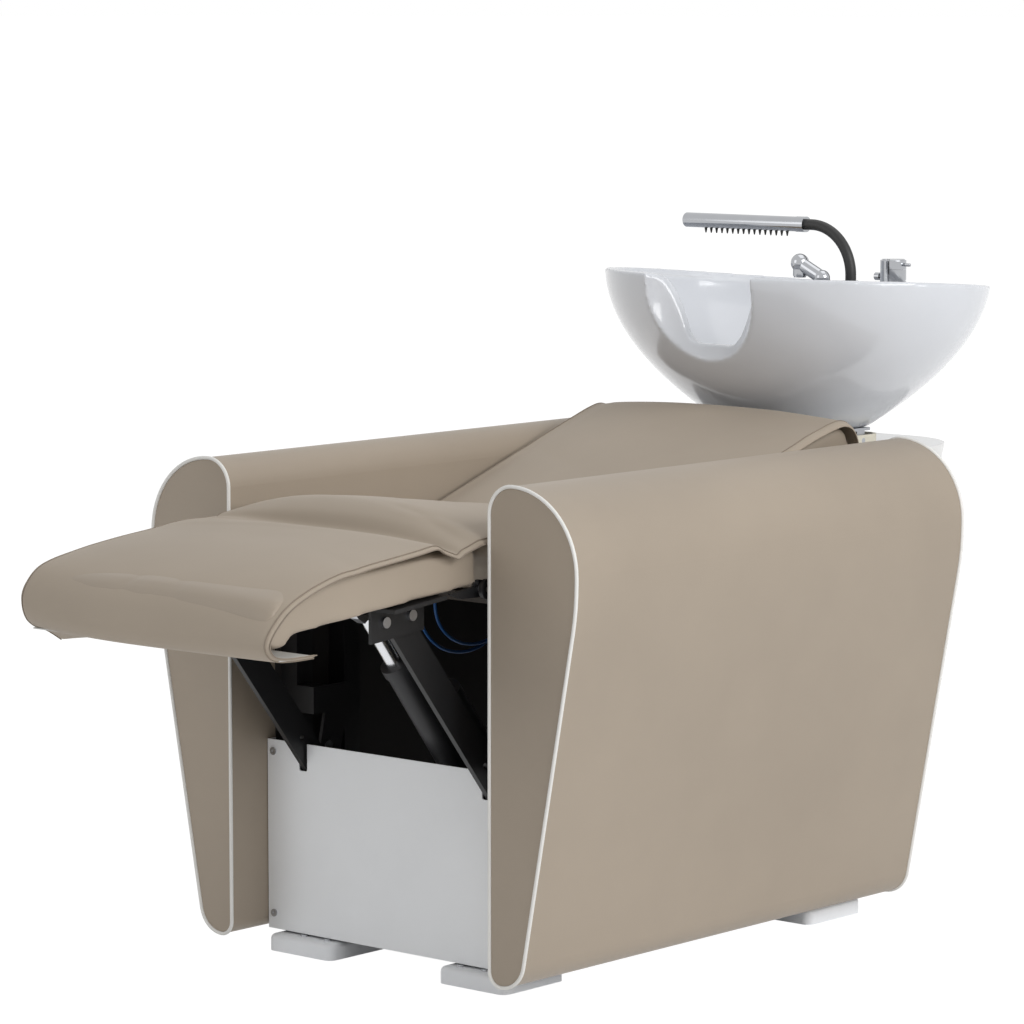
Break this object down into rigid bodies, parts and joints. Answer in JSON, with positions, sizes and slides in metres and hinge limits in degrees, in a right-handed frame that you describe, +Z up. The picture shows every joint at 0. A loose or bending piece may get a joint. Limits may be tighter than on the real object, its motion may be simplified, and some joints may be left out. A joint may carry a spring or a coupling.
{
  "type": "hair washing bed",
  "caption": "Salon hair washing bed with upholstered sides, a powered lifting leg rest, a laid back backrest and a tilting ceramic basin with taps on a column.",
  "frame": {"origin": "middle of the four floor fixing holes, on the floor plane under the feet", "axes": "+Z up; -Y the way the sitter looks, with the leg rest at -Y and the basin at +Y; +X the sitter's left side"},
  "size_m": [0.7456, 1.543, 0.958],
  "materials": {
    "leatherette": "soft beige leatherette, satin",
    "cover_sheet": "smooth beige leatherette sheet",
    "piping": "pale piping, satin",
    "panel_paint": "pale grey powder coat",
    "feet": "pale moulded feet",
    "frame_paint": "black satin paint",
    "zinc": "zinc plated",
    "plywood": "plain plywood",
    "black_plastic": "black, fine grain",
    "silver": "bright drawn rod",
    "lead_blue": "blue sheath",
    "column": "white moulded cover",
    "cradle": "cream moulding",
    "saddle": "plain steel",
    "glaze": "white glaze",
    "chrome": "polished",
    "hose_black": "black rubber"
  },
  "bodies": {
    "base": {"side_right": "leatherette", "side_left": "leatherette", "seat_cushion": "leatherette", "backrest_cushion": "leatherette", "backrest_cover": "cover_sheet", "side_piping": "piping", "front_panel": "panel_paint", "rear_panel": "panel_paint", "feet": "feet", "base_frame": "frame_paint", "uprights": "frame_paint", "seat_rails": "frame_paint", "hinge_plates": "frame_paint", "arm_guides": "frame_paint", "backrest_brackets": "frame_paint", "actuator_mount": "frame_paint", "column_post": "frame_paint", "foot_screws": "zinc", "front_panel_screws": "zinc", "frame_bolts": "zinc", "hinge_pins": "zinc", "actuator_base_pin": "zinc", "basin_pivot_pins": "zinc", "seat_board": "plywood", "backrest_board": "plywood", "control_box": "black_plastic", "lead_clips": "black_plastic", "mains_inlet": "black_plastic", "lead_outer": "lead_blue", "lead_inner": "lead_blue", "column_cover": "column", "basin_cradle": "cradle"},
    "leg_rest": {"legrest_board": "plywood", "legrest_cushion": "leatherette", "legrest_cover": "cover_sheet", "hinge_knuckles": "frame_paint", "swing_arms": "frame_paint", "arm_angles": "frame_paint", "arm_bolts": "zinc", "legrest_clevis": "frame_paint", "legrest_clevis_pin": "zinc"},
    "actuator": {"actuator_tube": "black_plastic", "actuator_gearbox": "black_plastic", "actuator_motor": "black_plastic"},
    "actuator_rod_group": {"actuator_rod": "silver", "rod_end": "zinc"},
    "basin_group": {"basin": "glaze", "basin_saddle": "saddle", "drain_tail": "chrome", "drain_strainer": "chrome", "mixer_body": "chrome", "handset_collar": "chrome", "hose_ferrule": "chrome"},
    "mixer_cap_group": {"mixer_cap": "chrome"},
    "diverter": {"diverter_knob": "chrome"},
    "hand_shower": {"handset": "chrome"},
    "massage_shower": {"shower_hose": "hose_black", "massage_bar": "chrome", "spray_nozzles": "hose_black"}
  },
  "joints": [
    {"name": "legrest_lift", "type": "hinge", "parent": "base", "child": "leg_rest", "pos_m": [0, -0.3985, 0.5263], "axis": [1, 0, 0], "range_deg": [0, 62]},
    {"name": "actuator_swing", "type": "hinge", "parent": "base", "child": "actuator", "pos_m": [0.0525, -0.2588, 0.2407], "axis": [1, 0, 0], "range_deg": [-8, 8]},
    {"name": "actuator_stroke", "type": "slide", "parent": "actuator", "child": "actuator_rod_group", "axis": [0, -0.6068, 0.7948], "range_m": [-0.07, 0.002]},
    {"name": "basin_tilt", "type": "hinge", "parent": "base", "child": "basin_group", "pos_m": [0, 0.515, 0.638], "axis": [1, 0, 0], "range_deg": [-7, 1]},
    {"name": "mixer_turn", "type": "hinge", "parent": "basin_group", "child": "mixer_cap_group", "pos_m": [0.1715, 0.514, 0.9], "axis": [0, 0, 1], "range_deg": [-45, 45]},
    {"name": "diverter_pull", "type": "slide", "parent": "basin_group", "child": "diverter", "axis": [-1, 0, 0], "range_m": [0, 0.004]},
    {"name": "handset_lift", "type": "slide", "parent": "basin_group", "child": "hand_shower", "axis": [0, 0, 1], "range_m": [0, 0.03]},
    {"name": "massage_bar_swivel", "type": "hinge", "parent": "basin_group", "child": "massage_shower", "pos_m": [0.172, 0.414, 0.87], "axis": [0, 0, 1], "range_deg": [-35, 60]}
  ],
  "couplings": [
    {"joint": "actuator_swing", "follows": "legrest_lift", "ratio": -0.048},
    {"joint": "actuator_stroke", "follows": "legrest_lift", "m_per_rad": -0.0596}
  ]
}
